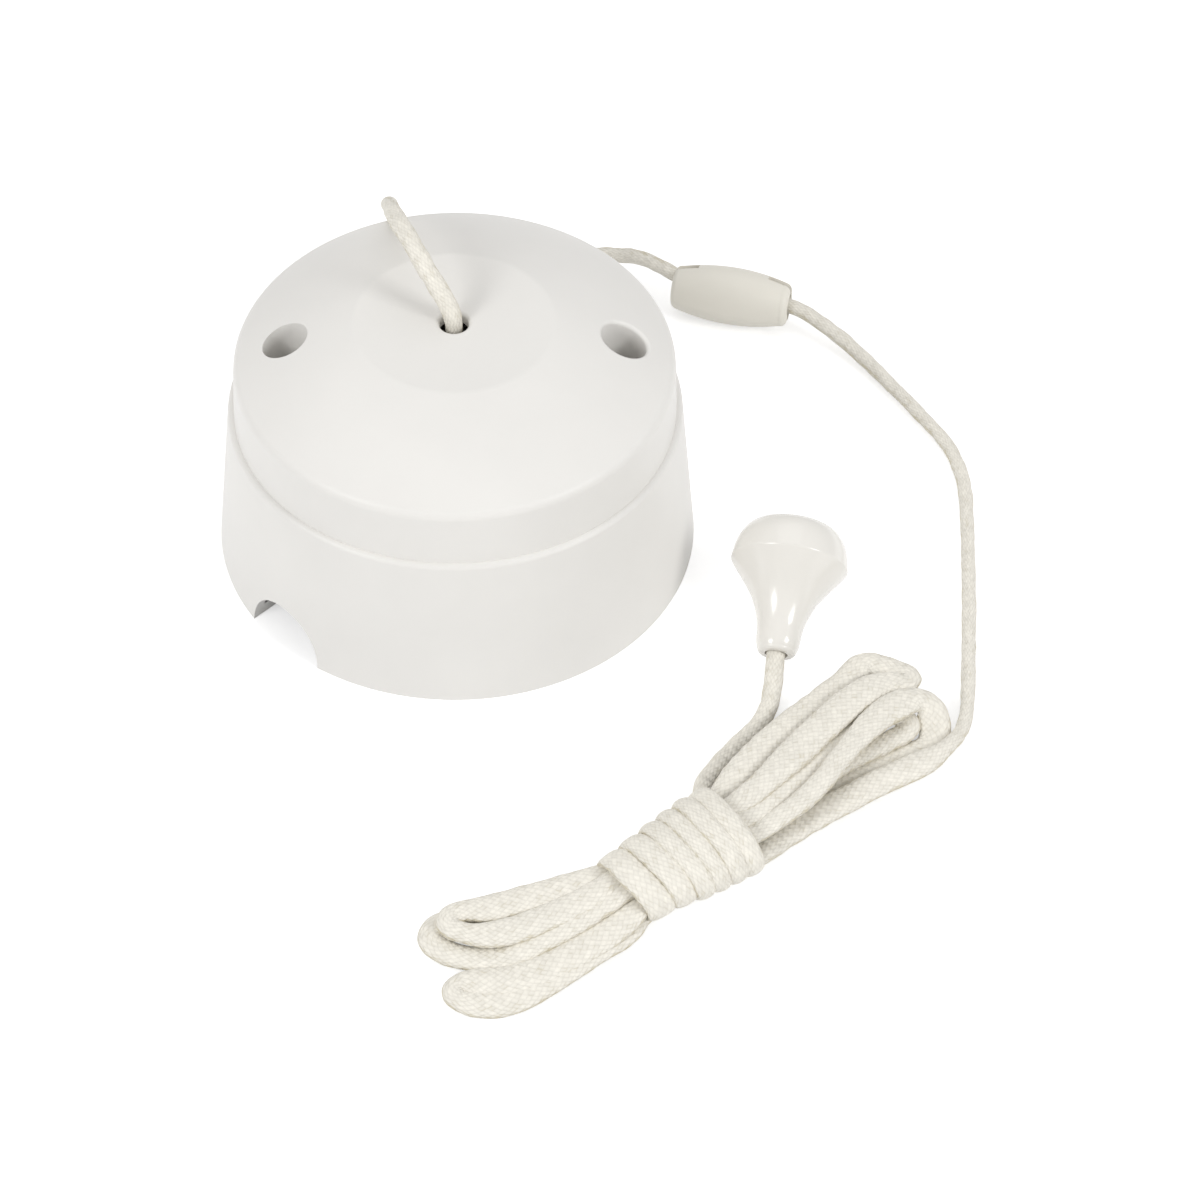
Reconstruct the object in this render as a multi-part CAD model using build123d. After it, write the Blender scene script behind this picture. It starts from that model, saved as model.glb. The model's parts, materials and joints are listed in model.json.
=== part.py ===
from build123d import *
import os
from math import asin, atan, cos, degrees, radians, sin, tan

os.makedirs("parts", exist_ok=True)

# Ceiling pull cord switch. Millimetres, +Z up out of the cover, origin at the centre of the ceiling face.
# The screw wells lie along X. The switch stands on its ceiling face, with its cord on the same surface.

# Base, the moulding that is fixed to the ceiling
base_radius = 44.0
base_top_radius = 41.1
base_height = 31.4
base_wall = 2.4
base_floor = 2.5
base_edge_round = 0.9
cable_arch_half_width = 8.5
cable_arch_height = 9.3
cable_arch_angle = 223.9
cable_arch_depth = 11.0
rear_entry_radius = 8.0
rear_entry_x = -19.0
rear_entry_y = -21.0
fixing_spacing_min = 50.8
fixing_spacing_max = 60.3
fixing_slot_width = 4.6
pillar_radius = 5.0
pillar_top = 20.8
pillar_web = 2.0

# Cover
cover_top = 51.4
cover_radius = 40.05
cover_rim_radius = 39.6
cover_rim_height = 42.3
cover_wall = 2.2
plateau_radius = 18.0
plateau_round = 3.0
shoulder_bulge = 0.9
rim_round = 2.0
lip_depth = 3.0
lip_wall = 1.6
lip_clearance = 0.25
cord_hole_radius = 2.6
cord_hole_round = 0.8
screw_spacing = 60.3
well_radius = 4.1
well_wall = 1.6
well_floor = 2.0
well_round = 0.6
well_pillar_gap = 0.2
boss_radius = 3.2
boss_pilot_depth = 6.0

# Cover screws and the inserts that take them
screw_radius = 1.7
screw_hole_clearance = 0.4
screw_length = 16.0
screw_head_radius = 3.4
screw_head_height = 2.4
insert_radius = 2.5
insert_length = 7.0
thread_clearance = 0.05
fit_clearance = 0.02
driver_slot_width = 0.8
driver_slot_depth = 1.0

# Plunger and its spring
pull_travel = 6.0
plunger_top_gap = 0.45
plunger_proud = 0.75
stem_radius = 3.9
slide_clearance = 0.1
flange_radius = 6.5
flange_thickness = 2.0
stop_gap = 0.1
knot_barrel_radius = 4.6
knot_barrel_length = 6.0
knot_pocket_depth = 5.0
knot_radius = 2.7
knot_clearance = 0.4
spring_wire = 0.7
spring_mean_radius = 5.3
spring_turns = 5.1

# Frame of the mechanism, hung from two bosses under the cover
frame_plate = 2.5
cheek_inside = 9.0
cheek_wall = 2.0
cheek_front = -8.0
cheek_back = 20.5
frame_ear_x = 14.5
frame_ear_y = 5.0
frame_ear_radius = 4.0
small_screw_radius = 1.2
small_screw_head_radius = 2.5
small_screw_head = 1.7
foot_boss_x = 13.5
foot_boss_y = 14.5
foot_boss_radius = 3.0
foot_boss_height = 9.0
cheek_window = 5.0

# Ratchet wheel and cam, one moulding on a steel spindle
tooth_count = 8
tooth_depth = 2.0
tooth_above_pitch = 0.8
ratchet_width = 3.6
ratchet_left = -2.2
cam_left = 3.2
cam_width = 3.4
cam_small_radius = 4.2
cam_large_radius = 5.8
hub_radius = 3.0
hub_end_gap = 0.3
spindle_radius = 1.5
running_clearance = 0.05
flange_above_wheel = 6.0

# Drive pawl on the plunger
pawl_thickness = 1.0
pawl_back_y = 5.4
pawl_wheel_gap = 0.5
pawl_side_gap = 0.2
pawl_tip_height = 1.2
pawl_tip_gap = 0.15
pawl_root_gap = 0.8
rivet_radius = 0.8
rivet_head_radius = 1.4
rivet_head = 0.5

# Contact lever, see-saw over a pin
lever_thickness = 1.0
lever_side_gap = 0.1
lever_eye_radius = 1.7
lever_pin_radius = 0.8
nose_arm = 7.0
nose_rise = 1.55
nose_round = 1.0
nose_gap = 0.25
contact_arm = 13.0
contact_radius = 1.2
contact_thickness = 0.8
contact_gap = 0.05
fixed_contact_thickness = 0.45
contact_spring_arm = 5.0
contact_spring_wire = 0.35
contact_spring_mean_radius = 1.3
contact_spring_turns = 3.4
contact_spring_gap = 0.2

# Terminals on their insulating plate
plate_floor_gap = 4.0
plate_thickness = 2.0
plate_half_width = 18.0
plate_front = -20.0
terminal_front = -19.5
terminal_depth = 7.0
terminal_width = 6.4
terminal_pitch = 8.5
terminal_row_x = 3.5
strip_thickness = 0.8
strip_width = 3.6
lug_thickness = 0.8
lug_gap = 0.3
lug_half_depth = 2.0
tunnel_radius = 1.8
tunnel_wall = 1.9
terminal_screw_radius = 1.25
terminal_screw_head_radius = 2.0
terminal_screw_head = 1.5
terminal_screw_access = 2.3
partition_wall = 1.2
partition_height = 6.5

# Cord and what is on it
cord_radius = 1.45
cord_bore_clearance = 0.2
floor_gap = 0.05
connector_length = 23.0
connector_middle_radius = 5.6
connector_end_radius = 3.9
connector_collar_radius = 4.3
connector_collar_length = 3.2
connector_cavity_radius = 3.2
connector_end_wall = 2.2
connector_bore_radius = 2.1
connector_end_round = 1.3
connector_collar_round = 0.4
connector_slot_length = 4.6
connector_slot_half_width = 0.95
connector_x = 53.1
connector_y = 56.0
connector_heading = -14.0
connector_roll = -24.0
connector_knot_offset = 5.2
connector_cord_lift = 2.9
acorn_neck_radius = 3.5
acorn_neck_round = 0.7
acorn_widest_radius = 10.7
acorn_near_length = 17.3
acorn_far_length = 7.6
acorn_end_radius = 6.4
acorn_bore_radius = 2.1
acorn_recess_radius = 3.4
acorn_recess_depth = 11.5
acorn_rim_round = 0.6
acorn_x = 57.5
acorn_y = -36.35
acorn_heading = 79.6

# Places worked out from the sizes above
base_inner_radius = base_radius - base_wall
base_inner_top = base_top_radius - base_wall
screw_x = screw_spacing / 2
well_bottom = pillar_top + well_pillar_gap
well_seat = well_bottom + well_floor
cover_ceiling = cover_top - cover_wall
stem_top = cover_ceiling - plunger_top_gap - pull_travel
frame_top = stem_top - plunger_proud
frame_bottom = frame_top - frame_plate
cheek_outside = cheek_inside + cheek_wall
step_angle = 360.0 / tooth_count
pitch_radius = pull_travel / (2 * sin(radians(step_angle / 2)))
tip_radius = pitch_radius + tooth_above_pitch
root_radius = tip_radius - tooth_depth
pawl_face_y = pawl_back_y + pawl_thickness
wheel_y = pawl_face_y + pawl_wheel_gap + tip_radius
pivot_y = wheel_y - nose_arm
lever_tilt = degrees(asin((cam_large_radius - cam_small_radius) / 2 / nose_arm))
lever_left = cam_left - lever_side_gap
lever_width = cam_width + 2 * lever_side_gap
lever_middle = lever_left + lever_width / 2
contact_y = pivot_y - contact_arm
contact_reach = (
    contact_arm * sin(radians(lever_tilt))
    + (lever_thickness / 2 + contact_thickness) * cos(radians(lever_tilt))
    + contact_radius * sin(radians(lever_tilt))
    + contact_gap
)
plate_bottom = base_floor + plate_floor_gap
plate_top = plate_bottom + plate_thickness
low_strip_top = plate_top + strip_thickness
pivot_z = low_strip_top + fixed_contact_thickness + contact_reach
high_strip_bottom = pivot_z + contact_reach + fixed_contact_thickness
terminal_top = high_strip_bottom + strip_thickness
wheel_z = pivot_z + nose_rise + nose_gap + (cam_small_radius + cam_large_radius) / 2
flange_bottom = wheel_z + flange_above_wheel
flange_top = flange_bottom + flange_thickness
terminal_back = terminal_front + terminal_depth
tunnel_z = terminal_top - tunnel_wall - tunnel_radius
plate_back = foot_boss_y + foot_boss_radius + 0.5


def rod(radius, low, high, x=0.0, y=0.0):
    """Upright cylinder between two heights."""
    return Pos(x, y, (low + high) / 2) * Cylinder(radius, high - low)


def rod_x(radius, left, right, y, z):
    """Cylinder along X."""
    return Pos((left + right) / 2, y, z) * Rot(0, 90, 0) * Cylinder(radius, right - left)


def rod_y(radius, front, back, x, z):
    """Cylinder along Y."""
    return Pos(x, (front + back) / 2, z) * Rot(90, 0, 0) * Cylinder(radius, back - front)


def block(x0, x1, y0, y1, z0, z1):
    """Box between two corners."""
    return Pos((x0 + x1) / 2, (y0 + y1) / 2, (z0 + z1) / 2) * Box(x1 - x0, y1 - y0, z1 - z0)


def turned(points, rounds=()):
    """Solid of revolution about Z from (radius, height) points, with some corners rounded."""
    face = make_face(Polyline(*points, close=True))
    for corner, radius in rounds:
        near = face.vertices().sort_by_distance(Vector(corner[0], corner[1], 0))[0]
        face = fillet(near, radius)
    return revolve(Plane.XZ * face, Axis.Z)


def coil(mean_radius, wire, turns, low, high, x=0.0, y=0.0):
    """Round wire spring whose wire just reaches both heights."""
    start = low + wire / 2 + fit_clearance
    length = high - low - wire - 2 * fit_clearance
    path = Pos(x, y, start) * Helix(length / turns, length, mean_radius)
    section = Plane(origin=path @ 0, z_dir=path % 0) * Circle(wire / 2)
    return sweep(section, path, is_frenet=True)


def screw_solid(radius, length, head_radius, head_height, slot_width, slot_depth):
    """Slotted pan screw with its head's seat at z = 0 and its shank below."""
    head = turned(
        ((0, 0), (head_radius, 0), (head_radius, head_height), (0, head_height)),
        (((head_radius, head_height), head_height * 0.45),),
    )
    slot_floor = head_height - slot_depth
    slot = block(-head_radius, head_radius, -slot_width / 2, slot_width / 2, slot_floor, head_height)
    return head - slot + rod(radius, -length, 0)


def shoulder_height(radius):
    """Height of the cover's bulged shoulder at a radius, nearly."""
    share = (radius - plateau_radius) / (cover_rim_radius - plateau_radius)
    fall = (cover_top - cover_rim_height) * share
    return cover_top - fall + 4 * shoulder_bulge * share * (1 - share)


def make_base():
    body = turned(
        (
            (0, 0),
            (base_radius, 0),
            (base_top_radius, base_height),
            (base_inner_top, base_height),
            (base_inner_radius, base_floor),
            (0, base_floor),
        ),
        (((base_top_radius, base_height), base_edge_round),),
    )
    hollow = turned(((0, base_floor), (base_inner_radius, base_floor), (base_inner_top, base_height), (0, base_height)))
    for side in (-1, 1):
        pillar = rod(pillar_radius, base_floor, pillar_top, side * screw_x)
        web_end = side * base_radius
        web = Pos((side * screw_x + web_end) / 2, 0, (base_floor + pillar_top) / 2) * Box(
            abs(web_end - side * screw_x), pillar_web, pillar_top - base_floor
        )
        body += pillar + (web & hollow)
        insert_seat = pillar_top - insert_length
        body -= rod(insert_radius + fit_clearance, insert_seat, pillar_top, side * screw_x)
        tip = well_seat - screw_length - 1.0
        body -= rod(screw_radius + screw_hole_clearance, tip, insert_seat, side * screw_x)
    slot_length = (fixing_spacing_max - fixing_spacing_min) / 2 + fixing_slot_width
    slot_place = (fixing_spacing_max + fixing_spacing_min) / 4
    for side in (-1, 1):
        slot = Pos(0, side * slot_place, 0) * Rot(0, 0, 90) * SlotOverall(slot_length, fixing_slot_width)
        body -= extrude(slot, base_floor)
    body -= rod(rear_entry_radius, 0, base_floor, rear_entry_x, rear_entry_y)
    arch_start = base_radius - cable_arch_depth
    arch = extrude(Plane.YZ * Ellipse(cable_arch_half_width, cable_arch_height), cable_arch_depth + 1)
    return body - Rot(0, 0, cable_arch_angle) * Pos(arch_start, 0, 0) * arch


def cover_outline(shrink):
    """Solid under the cover's outside, or under its inside when shrunk by the wall."""
    top = cover_top - shrink
    rim = (cover_rim_radius - shrink, cover_rim_height - shrink)
    plateau = (plateau_radius, top)
    bulge = ((rim[0] + plateau_radius) / 2, (rim[1] + top) / 2 + shoulder_bulge)
    outline = make_face(
        [
            Polyline((0, top), (0, base_height), (cover_radius - shrink, base_height), rim),
            ThreePointArc(rim, bulge, plateau),
            Line(plateau, (0, top)),
        ]
    )
    for corner, radius in ((rim, rim_round), (plateau, plateau_round)):
        outline = fillet(outline.vertices().sort_by_distance(Vector(*corner, 0))[0], radius)
    return revolve(Plane.XZ * outline, Axis.Z)


def make_cover():
    outside = cover_outline(0)
    body = outside - cover_outline(cover_wall)
    lip_outside = base_inner_top - lip_clearance
    lip = rod(lip_outside, base_height - lip_depth, base_height + cover_wall)
    body += lip - rod(lip_outside - lip_wall, base_height - lip_depth, base_height + cover_wall)
    below = rod(cover_radius, 0, base_height)
    for side in (-1, 1):
        well = rod(well_radius + well_wall, well_bottom, cover_top, side * screw_x)
        body += well & (outside + below)
        boss = rod(boss_radius, frame_top, cover_ceiling + cover_wall / 2, side * frame_ear_x, frame_ear_y)
        body += boss
    for side in (-1, 1):
        body -= rod(well_radius, well_seat, cover_top, side * screw_x)
        body -= rod(screw_radius + screw_hole_clearance, well_bottom, well_seat, side * screw_x)
        pilot_top = frame_top + boss_pilot_depth
        pilot = small_screw_radius + thread_clearance
        body -= rod(pilot, frame_top, pilot_top, side * frame_ear_x, frame_ear_y)
    mouth_height = shoulder_height(screw_x)
    mouths = [
        edge
        for edge in body.edges()
        if abs(abs(edge.center().X) - screw_x) < well_radius / 2
        and abs(edge.center().Z - mouth_height) < well_radius / 2
    ]
    body = fillet(mouths, well_round)
    body -= rod(cord_hole_radius, cover_ceiling - cover_wall, cover_top)
    hole_rim = [
        edge
        for edge in body.edges().filter_by(GeomType.CIRCLE)
        if abs(edge.radius - cord_hole_radius) < fit_clearance and edge.arc_center.Z > cover_ceiling
    ]
    return fillet(hole_rim, cord_hole_round)


def make_cover_screws():
    screw = screw_solid(
        screw_radius, screw_length, screw_head_radius, screw_head_height, driver_slot_width, driver_slot_depth
    )
    return Compound(children=[Pos(side * screw_x, 0, well_seat) * screw for side in (-1, 1)])


def make_screw_inserts():
    low = pillar_top - insert_length
    insert = rod(insert_radius, low, pillar_top) - rod(screw_radius + thread_clearance, low, pillar_top)
    return Compound(children=[Pos(side * screw_x, 0, 0) * insert for side in (-1, 1)])


def make_mechanism_frame():
    body = block(-cheek_outside, cheek_outside, cheek_front, cheek_back, frame_bottom, frame_top)
    for side in (-1, 1):
        ear = rod(frame_ear_radius, frame_bottom, frame_top, side * frame_ear_x, frame_ear_y)
        ear_root = sorted((0.0, side * frame_ear_x))
        body += ear + block(
            ear_root[0],
            ear_root[1],
            frame_ear_y - frame_ear_radius,
            frame_ear_y + frame_ear_radius,
            frame_bottom,
            frame_top,
        )
        cheek_x = sorted((side * cheek_inside, side * cheek_outside))
        cheek = block(cheek_x[0], cheek_x[1], cheek_front, cheek_back, plate_top, frame_bottom)
        window_low = plate_top + cheek_window
        window_high = flange_bottom - flange_thickness - cheek_window
        window_front = cheek_front + cheek_window
        cheek -= block(cheek_x[0], cheek_x[1], window_front, cheek_window, window_low, window_high)
        stop_low = flange_bottom - stop_gap - flange_thickness
        stop_inside = (knot_barrel_radius + flange_radius) / 2
        stop_x = sorted((side * stop_inside, side * cheek_inside))
        stop_half = flange_radius / 3
        cheek += block(stop_x[0], stop_x[1], -stop_half, stop_half, stop_low, flange_bottom - stop_gap)
        foot = rod(foot_boss_radius, plate_top, plate_top + foot_boss_height, side * foot_boss_x, foot_boss_y)
        foot_root = sorted((side * cheek_outside, side * foot_boss_x))
        foot += block(
            foot_root[0],
            foot_root[1],
            foot_boss_y - foot_boss_radius / 2,
            foot_boss_y + foot_boss_radius / 2,
            plate_top,
            plate_top + foot_boss_height,
        )
        body += cheek + foot
        pilot = small_screw_radius + thread_clearance
        body -= rod(pilot, frame_bottom, frame_top, side * frame_ear_x, frame_ear_y)
        pilot_top = plate_top + foot_boss_height - 1.0
        body -= rod(pilot, plate_top, pilot_top, side * foot_boss_x, foot_boss_y)
    body -= rod(stem_radius + slide_clearance, frame_bottom, frame_top)
    return body - rod_x(spindle_radius + fit_clearance, -cheek_outside, cheek_outside, wheel_y, wheel_z)


def make_frame_screws():
    length = frame_plate + boss_pilot_depth - 0.5
    screw = screw_solid(
        small_screw_radius, length, small_screw_head_radius, small_screw_head, driver_slot_width, driver_slot_depth
    )
    return Compound(
        children=[Pos(side * frame_ear_x, frame_ear_y, frame_bottom) * Rot(180, 0, 0) * screw for side in (-1, 1)]
    )


def terminal_places():
    """Centres along X of the loop, common, first-way and second-way terminals."""
    return [terminal_row_x + step * terminal_pitch for step in (-2, -1, 0, 1)]


def make_terminal_plate():
    body = block(-plate_half_width, plate_half_width, plate_front, plate_back, plate_bottom, plate_top)
    places = terminal_places()
    for left, right in zip(places, places[1:]):
        middle = (left + right) / 2
        body += block(
            middle - partition_wall / 2,
            middle + partition_wall / 2,
            plate_front,
            terminal_back,
            plate_top,
            plate_top + partition_height,
        )
    strut_x = (places[2] + places[3]) / 2
    strut_front = terminal_back + strip_thickness
    body += block(
        strut_x, strut_x + strip_width / 2, strut_front, strut_front + strip_width / 2, plate_top, high_strip_bottom
    )
    middle_y = (terminal_front + terminal_back) / 2
    for place in places:
        body -= rod(terminal_screw_access, plate_bottom, plate_top, place, middle_y)
    for side in (-1, 1):
        body -= rod(
            small_screw_radius + screw_hole_clearance, plate_bottom, plate_top, side * foot_boss_x, foot_boss_y
        )
    return body


def make_plate_screws():
    length = plate_thickness + foot_boss_height - 2.0
    screw = screw_solid(
        small_screw_radius, length, small_screw_head_radius, small_screw_head, driver_slot_width, driver_slot_depth
    )
    return Compound(
        children=[Pos(side * foot_boss_x, foot_boss_y, plate_bottom) * Rot(180, 0, 0) * screw for side in (-1, 1)]
    )


def terminal_block(place):
    """Brass block with a wire tunnel along Y and a screw hole up into it."""
    half = terminal_width / 2
    body = block(place - half, place + half, terminal_front, terminal_back, plate_top, terminal_top)
    body -= rod_y(tunnel_radius, terminal_front, terminal_back, place, tunnel_z)
    middle_y = (terminal_front + terminal_back) / 2
    return body - rod(terminal_screw_radius + thread_clearance, plate_top, tunnel_z, place, middle_y)


def make_loop_terminal():
    return terminal_block(terminal_places()[0])


def make_common_terminal():
    place = terminal_places()[1]
    body = terminal_block(place)
    half = strip_width / 2
    lug_back = pivot_y + lug_half_depth
    right = lever_left + lever_width + lug_gap + lug_thickness
    body += block(place - half, place + half, terminal_back, lug_back, plate_top, low_strip_top)
    body += block(place - half, right, pivot_y - lug_half_depth, lug_back, plate_top, low_strip_top)
    lug_top = pivot_z + lever_pin_radius + lug_thickness
    for left in (lever_left - lug_gap - lug_thickness, lever_left + lever_width + lug_gap):
        lug = block(left, left + lug_thickness, pivot_y - lug_half_depth, lug_back, plate_top, lug_top)
        body += lug
    return body - rod_x(lever_pin_radius + fit_clearance, place, right + 1, pivot_y, pivot_z)


def make_first_way_terminal():
    body = terminal_block(terminal_places()[2])
    strip_end = contact_y + 1.6 * contact_radius
    left = lever_middle - strip_width / 2
    return body + block(left, left + strip_width, terminal_back, strip_end, plate_top, low_strip_top)


def make_second_way_terminal():
    place = terminal_places()[3]
    body = terminal_block(place)
    left = lever_middle - strip_width / 2
    turn_front = terminal_back + strip_thickness
    turn_back = turn_front + strip_width
    strip_end = contact_y + 1.6 * contact_radius
    right = place + strip_width / 2
    body += block(place - strip_width / 2, right, terminal_back, turn_back, high_strip_bottom, terminal_top)
    body += block(left, right, turn_front, turn_back, high_strip_bottom, terminal_top)
    return body + block(left, left + strip_width, turn_front, strip_end, high_strip_bottom, terminal_top)


def make_terminal_screws():
    length = tunnel_z - tunnel_radius / 3 - plate_top
    screw = screw_solid(
        terminal_screw_radius,
        length,
        terminal_screw_head_radius,
        terminal_screw_head,
        driver_slot_width,
        terminal_screw_head / 2,
    )
    middle_y = (terminal_front + terminal_back) / 2
    return Compound(
        children=[Pos(place, middle_y, plate_top) * Rot(180, 0, 0) * screw for place in terminal_places()]
    )


def make_fixed_contacts():
    low = rod(contact_radius, low_strip_top, low_strip_top + fixed_contact_thickness, lever_middle, contact_y)
    high = rod(contact_radius, high_strip_bottom - fixed_contact_thickness, high_strip_bottom, lever_middle, contact_y)
    return Compound(children=[low, high])


def make_pull_plunger():
    barrel_low = flange_bottom - knot_barrel_length
    body = rod(flange_radius, flange_bottom, flange_top)
    body += rod(stem_radius, flange_top, stem_top)
    body += rod(knot_barrel_radius, barrel_low, flange_bottom)
    pad_half = ratchet_width / 2
    pad_middle = ratchet_left + pad_half
    body += block(pad_middle - pad_half, pad_middle + pad_half, 0, pawl_back_y, barrel_low, flange_bottom)
    body -= rod(knot_radius + knot_clearance, barrel_low, barrel_low + knot_pocket_depth)
    body -= rod(cord_radius + cord_bore_clearance, barrel_low, stem_top)
    rivet_z = flange_bottom - knot_pocket_depth / 2
    rivet_start = knot_radius + knot_clearance + rivet_head
    return body - rod_y(rivet_radius + fit_clearance, rivet_start, pawl_back_y, pad_middle, rivet_z)


def make_drive_pawl():
    left = ratchet_left + pawl_side_gap
    right = ratchet_left + ratchet_width - pawl_side_gap
    tip_drop = tip_radius * sin(radians(step_angle / 2)) + pawl_tip_gap
    tip_top = wheel_z - tip_drop
    tip_end = wheel_y - root_radius - pawl_root_gap
    body = block(left, right, pawl_back_y, pawl_face_y, tip_top - pawl_tip_height, flange_bottom)
    body += block(left, right, pawl_back_y, tip_end, tip_top - pawl_tip_height, tip_top)
    rivet_z = flange_bottom - knot_pocket_depth / 2
    middle = (left + right) / 2
    return body - rod_y(rivet_radius + fit_clearance, pawl_back_y, pawl_face_y, middle, rivet_z)


def make_pawl_rivet():
    rivet_z = flange_bottom - knot_pocket_depth / 2
    middle = ratchet_left + ratchet_width / 2
    start = knot_radius + knot_clearance + rivet_head
    shank = rod_y(rivet_radius, start, pawl_face_y, middle, rivet_z)
    return shank + rod_y(rivet_head_radius, pawl_face_y, pawl_face_y + rivet_head, middle, rivet_z)


def make_return_spring():
    return coil(spring_mean_radius, spring_wire, spring_turns, flange_top, frame_bottom)


def polar(radius, angle):
    """Point of the wheel's section, with 0 degrees along +Y and 90 degrees along +Z."""
    return (radius * cos(radians(angle)), radius * sin(radians(angle)))


def make_ratchet_cam():
    drive_face = 180.0 + step_angle / 2
    teeth = []
    for tooth in range(tooth_count):
        face_angle = drive_face + tooth * step_angle
        teeth.append(polar(root_radius, face_angle))
        teeth.append(polar((root_radius + tip_radius) / 2, face_angle + step_angle * 0.55))
        teeth.append(polar(tip_radius, face_angle + step_angle))
    section = Plane(origin=(ratchet_left, wheel_y, wheel_z), x_dir=(0, 1, 0), z_dir=(1, 0, 0))
    body = extrude(section * make_face(Polyline(*teeth, close=True)), ratchet_width)
    flanks = []
    for flank in range(tooth_count):
        low_end = flank % 2 == 0
        start = 270.0 + flank * step_angle
        shares = (0.0, 0.25, 0.5, 0.75, 1.0)
        lift = cam_large_radius - cam_small_radius
        points = [
            polar(cam_small_radius + lift * (share if low_end else 1 - share), start + share * step_angle)
            for share in shares
        ]
        flanks.append(Spline(*points))
    cam_section = Plane(origin=(cam_left, wheel_y, wheel_z), x_dir=(0, 1, 0), z_dir=(1, 0, 0))
    body += extrude(cam_section * make_face(flanks), cam_width)
    hub_end = cheek_inside - hub_end_gap
    body += rod_x(hub_radius, -hub_end, hub_end, wheel_y, wheel_z)
    return body - rod_x(spindle_radius + running_clearance, -hub_end, hub_end, wheel_y, wheel_z)


def make_cam_spindle():
    return rod_x(spindle_radius, -cheek_outside, cheek_outside, wheel_y, wheel_z)


def tilted_lever(solid):
    """Lever piece turned from level to its rest, nose up."""
    return Pos(0, pivot_y, pivot_z) * Rot(lever_tilt, 0, 0) * Pos(0, -pivot_y, -pivot_z) * solid


def make_contact_lever():
    right = lever_left + lever_width
    strip_front = contact_y - contact_radius
    strip_back = pivot_y + nose_arm + nose_round
    half = lever_thickness / 2
    body = block(lever_left, right, strip_front, strip_back, pivot_z - half, pivot_z + half)
    body += rod_x(lever_eye_radius, lever_left, right, pivot_y, pivot_z)
    nose_y = pivot_y + nose_arm
    nose_z = pivot_z + nose_rise - nose_round
    body += rod_x(nose_round, lever_left, right, nose_y, nose_z)
    body += block(lever_left, right, nose_y - nose_round, nose_y + nose_round, pivot_z, nose_z)
    body -= rod_x(lever_pin_radius + running_clearance, lever_left, right, pivot_y, pivot_z)
    return tilted_lever(body)


def make_moving_contacts():
    half = lever_thickness / 2
    low = rod(contact_radius, pivot_z - half - contact_thickness, pivot_z - half, lever_middle, contact_y)
    high = rod(contact_radius, pivot_z + half, pivot_z + half + contact_thickness, lever_middle, contact_y)
    return Compound(children=[tilted_lever(low), tilted_lever(high)])


def make_lever_pin():
    left = lever_left - lug_gap - lug_thickness
    right = lever_left + lever_width + lug_gap + lug_thickness
    return rod_x(lever_pin_radius, left, right, pivot_y, pivot_z)


def make_contact_spring():
    reach = contact_spring_arm - contact_spring_mean_radius - contact_spring_wire / 2
    slope = tan(radians(lever_tilt))
    under_lever = pivot_z + reach * slope - lever_thickness / 2 / cos(radians(lever_tilt))
    top = under_lever - contact_spring_gap
    return coil(
        contact_spring_mean_radius,
        contact_spring_wire,
        contact_spring_turns,
        plate_top,
        top,
        lever_middle,
        pivot_y + contact_spring_arm,
    )


# Cord routes, chosen by hand. Each tube is straight runs joined by the largest arcs that the runs allow.
knot_height = flange_bottom - knot_barrel_length + knot_pocket_depth - knot_radius
connector_height = connector_middle_radius + floor_gap
connector_place = (
    Pos(connector_x, connector_y, connector_height) * Rot(0, 0, connector_heading) * Rot(connector_roll, 0, 0)
)
acorn_tilt = degrees(atan((acorn_widest_radius - acorn_neck_radius) / acorn_near_length))
acorn_height = acorn_neck_radius * cos(radians(acorn_tilt)) + floor_gap
acorn_place = Pos(acorn_x, acorn_y, acorn_height) * Rot(0, 0, acorn_heading) * Rot(0, 90 - acorn_tilt, 0)


def on_connector(distance, lift=0.0):
    """Point on the connector's axis, from its middle, or raised from it in the plane of the slots."""
    return tuple((connector_place * Pos(distance, 0, lift)).position)


def on_acorn(distance):
    """Point on the acorn's axis, from its neck end."""
    return tuple((acorn_place * Pos(0, 0, distance)).position)


cord_floor = cord_radius + floor_gap
connector_end = connector_length / 2
upper_route = [
    (0, 0, stem_top + 2.5),
    (0, 0, cover_top + 3.1),
    (-4.4, 2.2, cover_top + 10.2),
    (-9.4, 9.0, cover_top + 12.8),
    (-12.2, 18.5, cover_top + 11.2),
    (-12.8, 29.0, cover_top + 4.6),
    (-12.8, cover_rim_radius, cover_rim_height + 5.4),
    (-11.6, base_radius + 4.6, base_height + 5.4),
    (-8.0, base_radius + 11.4, base_height - 8.0),
    (-3.0, base_radius + 18.0, 11.4),
    (4.0, base_radius + 24.0, 4.2),
    (12.5, base_radius + 28.0, cord_floor),
    (22.0, base_radius + 28.4, cord_floor + 0.1),
    (30.0, base_radius + 25.0, 4.2),
    (35.4, base_radius + 21.2, 7.2),
    on_connector(-connector_end - 1.0, connector_cord_lift),
    on_connector(-connector_knot_offset),
]
lower_route = [
    on_connector(connector_knot_offset),
    on_connector(connector_end + 1.2),
    (70.9, 48.8, 4.3),
    (76.8, 44.4, 2.0),
    (82.5, 36.0, cord_floor),
    (88.0, 27.4, cord_floor),
    (93.2, 18.6, cord_floor),
    (95.3, 9.0, cord_floor),
    (95.0, -2.0, cord_floor),
    (94.3, -14.5, cord_floor),
    (93.3, -29.0, cord_floor),
    (91.8, -43.0, cord_floor),
    (90.7, -52.2, cord_floor),
    (86.8, -58.0, cord_floor),
    (80.8, -61.6, cord_floor),
    (75.0, -64.6, cord_floor),
]
acorn_route = [
    on_acorn(acorn_near_length / 2),
    on_acorn(-0.5),
    (56.9, -44.2, cord_floor),
    (55.4, -50.8, cord_floor),
    (51.4, -55.9, cord_floor),
    (46.6, -60.6, cord_floor),
    (43.4, -66.4, 2.2),
    (43.0, -72.4, 4.2),
]


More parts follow.
